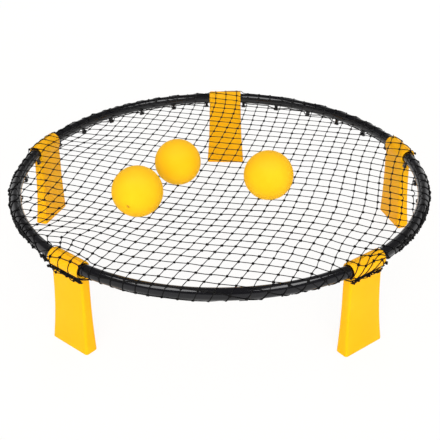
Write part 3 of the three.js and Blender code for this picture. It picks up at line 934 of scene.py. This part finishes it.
def bunch_strand(azimuth, half, middle, spread):
    """One wavy strand of gathered net along a tube or sleeve."""
    steps = max(6, int(2 * half / BUNCH_STEP))
    turns = max(1.0, half / BUNCH_WAVE)
    waves = [random_wave(turns, (0.6, 1.0), (0.5, 1.3)) for _ in range(2)]
    ripples = [random_wave(turns, (0.25, 0.5), (2.0, 4.0)) for _ in range(2)]
    start, stop = (side * half * rng.uniform(0.88, 1.04) for side in (-1, 1))
    points = []
    for i in range(steps + 1):
        t = 2 * i / steps - 1
        room = spread * (1 - 0.6 * t**4)
        shift = [
            room * sum(size * math.sin(math.pi * count * t + phase) for size, count, phase in pair)
            for pair in zip(waves, ripples)
        ]
        turned = azimuth + lerp(start, stop, i / steps) / RIM_RADIUS
        share, axis_radius = rim_axis(turned)
        outward, up = clear_of_rim(middle[0] + shift[0], middle[1] + shift[1], share)
        points.append(rim_place(turned, outward, up, radius=axis_radius))
    return points


def add_bunches(cords):
    for degrees, half, (outward, up), strands, spread in BUNCHES:
        azimuth = math.radians(degrees)
        normal = Vector((math.cos(azimuth), math.sin(azimuth), 0.2)).normalized()
        for _ in range(strands):
            points = bunch_strand(azimuth, half * MM, (outward * MM, up * MM), spread * MM)
            cords.add_cord([np.array(p) for p in points])
            every = max(2, int(BUNCH_KNOT_SPACING / BUNCH_STEP))
            first = int(rng.integers(0, every))
            for place in points[first::every]:
                add_knot(cords, place, normal, rng.uniform(0, math.tau))


def catching_hooks():
    """Hooks clear of the sleeves' ends, which hold the net's edge."""
    return [azimuth for leg in range(len(LEGS)) for azimuth in hook_azimuths(leg)[1:-1]]


def add_edge(cords, ends):
    """The edge cord: through every cord's end, under the tube, caught behind the hooks."""
    stops = list(ends)
    along, outward, up = CAUGHT_EDGE
    for azimuth in catching_hooks():
        for side in (-1, 1):
            turned = (azimuth + side * along / RIM_RADIUS) % math.tau
            stops.append((turned, rim_place(turned, outward, up)))
    stops.sort(key=lambda stop: stop[0])
    points = []
    for (azimuth, place), (next_azimuth, next_place) in zip(stops, stops[1:] + stops[:1]):
        span = (next_azimuth - azimuth) % math.tau
        steps = max(2, int(span * RIM_RADIUS / EDGE_STEP))
        for i in range(steps):
            t = i / steps
            sag = Vector((0, 0, -EDGE_SAG)) * 4 * t * (1 - t)
            points.append(np.array(place.lerp(next_place, t) + sag))
    cords.add_cord(points + points[:1], EDGE_RADIUS, EDGE_SIDES)


def make_net(material):
    cords = Cords()
    knots = place_knots()
    ends = []
    for step in ((1, 0), (0, 1)):
        for run in cord_runs(knots, step):
            points = []
            for key, after in zip(run, run[1:]):
                points.extend(segment_points(knots[key], knots[after]))
            points.append(knots[run[-1]][1])
            for key, sign in ((run[0], -1), (run[-1], 1)):
                beyond = (key[0] + sign * step[0], key[1] + sign * step[1])
                flat = knots[key][0]
                target = flat_knot(*beyond)
                azimuth = math.atan2(*(flat.lerp(target, 0.5).yx))
                place = edge_place(azimuth)
                stop = knots[key][1]
                tail = [stop.lerp(place, t) for t in (0.33, 0.66, 1.0)]
                if sign < 0:
                    points = tail[::-1] + points
                else:
                    points = points + tail
                ends.append((azimuth % math.tau, place))
            cords.add_cord([np.array(p) for p in points])
    for key in sorted(knots):
        _, place, normal, _ = knots[key]
        add_knot(cords, place, normal, rng.uniform(0, math.tau))
    add_edge(cords, ends)
    add_bunches(cords)
    piece = cords.build("knotted_net", material)
    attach(piece, "ring")
    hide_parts("net")


# ---- Balls and valves, drawn with the valve at the top ----


def lathe(name, profile, sides, material):
    """Turns a profile of (radius, height) about Z; points on the axis are merged."""
    vertices = []
    for radius, height in profile:
        for i in range(sides):
            angle = math.tau * i / sides
            vertices.append((radius * math.cos(angle), radius * math.sin(angle), height))
    piece = add_object(name, vertices, grid_faces(len(profile), sides), material)
    made = bmesh.new()
    made.from_mesh(piece.data)
    bmesh.ops.remove_doubles(made, verts=made.verts, dist=MERGE_DISTANCE)
    bmesh.ops.recalc_face_normals(made, faces=made.faces)
    made.to_mesh(piece.data)
    made.free()
    piece.data.polygons.foreach_set("use_smooth", [True] * len(piece.data.polygons))
    return piece


def ball_profile(radius):
    inner = radius - BALL_WALL
    profile = []
    top = math.acos((VALVE_BORE_RADIUS + VALVE_BORE_EDGE) / radius)
    for i in range(BALL_OUTER_STEPS + 1):
        angle = lerp(-math.pi / 2, top, i / BALL_OUTER_STEPS)
        profile.append((radius * math.cos(angle), radius * math.sin(angle)))
    edge_height = radius * math.sin(top) - VALVE_BORE_EDGE
    for i in range(1, BORE_EDGE_STEPS + 1):
        angle = math.pi / 2 * (1 - i / BORE_EDGE_STEPS)
        reach = VALVE_BORE_RADIUS + VALVE_BORE_EDGE * (1 - math.cos(angle))
        profile.append((reach, edge_height + VALVE_BORE_EDGE * math.sin(angle)))
    for i in range(BALL_INNER_STEPS + 1):
        angle = lerp(math.acos(VALVE_BORE_RADIUS / inner), -math.pi / 2, i / BALL_INNER_STEPS)
        profile.append((max(inner * math.cos(angle), 0.0), inner * math.sin(angle)))
    profile[0] = (0.0, -radius)
    return profile


def valve_profile(ball_radius):
    top = math.sqrt(ball_radius**2 - VALVE_BORE_RADIUS**2) - VALVE_SUNK
    return [
        (0, top - VALVE_LENGTH),
        (VALVE_RADIUS * 0.6, top - VALVE_LENGTH),
        (VALVE_RADIUS, top - VALVE_LENGTH * 0.7),
        (VALVE_RADIUS, top - 0.5 * MM),
        (VALVE_RADIUS - 0.15 * MM, top - 0.15 * MM),
        (VALVE_RADIUS - 0.5 * MM, top),
        (NEEDLE_RADIUS * 1.5, top - 0.1 * MM),
        (NEEDLE_RADIUS, top - 0.5 * MM),
        (NEEDLE_RADIUS / 2, top - NEEDLE_DEPTH),
        (0, top - NEEDLE_DEPTH),
    ]


def make_balls(ball_material, valve_material):
    for name, size, (x, y), (azimuth, elevation) in BALLS:
        radius = size * MM
        height = RIM_HEIGHT + SOLID_NET_PLANE + SOLID_CORD_HALF + BALL_REST_GAP + radius
        azimuth, elevation = math.radians(azimuth), math.radians(elevation)
        facing = Vector(
            (
                math.cos(elevation) * math.cos(azimuth),
                math.cos(elevation) * math.sin(azimuth),
                math.sin(elevation),
            )
        )
        turned = Vector((0, 0, 1)).rotation_difference(facing).to_matrix().to_4x4()
        place = Matrix.Translation((x * MM, y * MM, height)) @ turned
        ball = lathe(f"rubber_ball_{name}", ball_profile(radius), BALL_SIDES, ball_material)
        valve = lathe(f"valve_plug_{name}", valve_profile(radius), VALVE_SIDES, valve_material)
        for piece, node, slot in ((ball, "ball", "ball_rubber"), (valve, "valve", "valve_rubber")):
            piece.data.transform(place)
            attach(piece, f"ball_{name}")
            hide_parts(f"{node}_{name}")


# ---- Stage ----

CAMERA_PLACE = Vector((0.06301, -1.64060, 1.06339))
CAMERA_TURN = math.radians(2.17)  # about Z
CAMERA_PITCH = math.radians(-31.079)
CAMERA_ROLL = -0.0063
CAMERA_LENS = 68.55
FLOOR_HALF = 12.0
FLOOR_GLOW = 1.02
FLOOR_WHITE = 0.88  # share of the floor's own white in what the camera sees of it
WORLD_LIGHT = 0.71
CEILING_STARTS = (0.3, 0.5)  # sine of the height at which the white backdrop turns into the dim ceiling
CEILING_WHITE = 0.2
WORLD_COLOUR = (1.0, 0.93, 0.82, 1)

# Name, place, size and power: the lamps that light the room, then those that show only in reflections, as
# streaks on the rim.
ROOM_LAMPS = [
    ("front", (0.1, -4.7, 2.0), (4.6, 2.5), 178),
    ("back", (0.3, 2.6, 1.5), (2.2, 1.2), 16),
]
STREAK_LAMPS = [
    ("over_left", (-0.82, -0.70, 2.4), (1.1, 1.6), 32),
    ("over_right", (0.95, -0.58, 2.4), (0.7, 1.6), 24),
]
LAMP_TARGET = (0, 0, 0.15)


def make_camera():
    data = bpy.data.cameras.new("camera")
    data.sensor_width = 36
    data.lens = CAMERA_LENS
    data.clip_end = 60
    camera = bpy.data.objects.new("camera", data)
    bpy.context.scene.collection.objects.link(camera)
    turn = Matrix.Rotation(CAMERA_TURN, 3, "Z")
    forward = turn @ Vector((0, math.cos(CAMERA_PITCH), math.sin(CAMERA_PITCH)))
    level_right = turn @ Vector((1, 0, 0))
    level_up = level_right.cross(forward)
    right = math.cos(CAMERA_ROLL) * level_right + math.sin(CAMERA_ROLL) * level_up
    up = right.cross(forward)
    axes = Matrix((right, up, -forward)).transposed().to_4x4()
    camera.matrix_world = Matrix.Translation(CAMERA_PLACE) @ axes
    bpy.context.scene.camera = camera


def add_area_light(name, place, size, power, target=None):
    """A rectangular light; without a target it looks straight down, its first side along X."""
    data = bpy.data.lights.new(name, "AREA")
    data.shape = "RECTANGLE"
    data.size, data.size_y = size
    data.energy = power
    light = bpy.data.objects.new(name, data)
    light.location = place
    if target is not None:
        light.rotation_euler = (Vector(target) - Vector(place)).to_track_quat("-Z", "Y").to_euler()
    bpy.context.scene.collection.objects.link(light)
    return light


def make_lights():
    for name, place, size, power in ROOM_LAMPS:
        add_area_light(name, place, size, power, LAMP_TARGET).visible_glossy = False
    for name, place, size, power in STREAK_LAMPS:
        add_area_light(name, place, size, power).visible_diffuse = False


def make_world():
    world = bpy.data.worlds.new("studio")
    bpy.context.scene.world = world
    world.use_nodes = True
    nodes, links = world.node_tree.nodes, world.node_tree.links
    nodes.clear()
    way = nodes.new("ShaderNodeSeparateXYZ")
    links.new(nodes.new("ShaderNodeTexCoord").outputs["Generated"], way.inputs["Vector"])
    ceiling = nodes.new("ShaderNodeMapRange")
    links.new(way.outputs["Z"], ceiling.inputs["Value"])
    keys = ("From Min", "From Max", "To Min", "To Max")
    for key, value in zip(keys, (*CEILING_STARTS, 1.0, CEILING_WHITE)):
        ceiling.inputs[key].default_value = value
    seen = nodes.new("ShaderNodeBackground")
    seen.inputs["Color"].default_value = (1, 1, 1, 1)
    links.new(ceiling.outputs["Result"], seen.inputs["Strength"])
    light = nodes.new("ShaderNodeBackground")
    light.inputs["Color"].default_value = WORLD_COLOUR
    light.inputs["Strength"].default_value = WORLD_LIGHT
    mix = nodes.new("ShaderNodeMixShader")
    out = nodes.new("ShaderNodeOutputWorld")
    links.new(background_rays(nodes, links), mix.inputs["Fac"])
    links.new(light.outputs["Background"], mix.inputs[1])
    links.new(seen.outputs["Background"], mix.inputs[2])
    links.new(mix.outputs["Shader"], out.inputs["Surface"])


def make_floor():
    half = FLOOR_HALF
    corners = [(-half, -half, 0), (half, -half, 0), (half, half, 0), (-half, half, 0)]
    floor = add_object("floor", corners, [[0, 1, 2, 3]], floor_finish(), smooth=False)


# ---- Assembly ----

make_camera()
make_world()
make_lights()
make_floor()
bpy.context.scene.view_settings.view_transform = "Standard"

rim_material = rim_finish()
for leg_index, (_, _, tube_name) in enumerate(LEGS):
    make_rim_tube(leg_index, tube_name, rim_material)
make_legs(leg_finish())
make_net(cord_finish())
make_balls(ball_finish(), valve_finish())
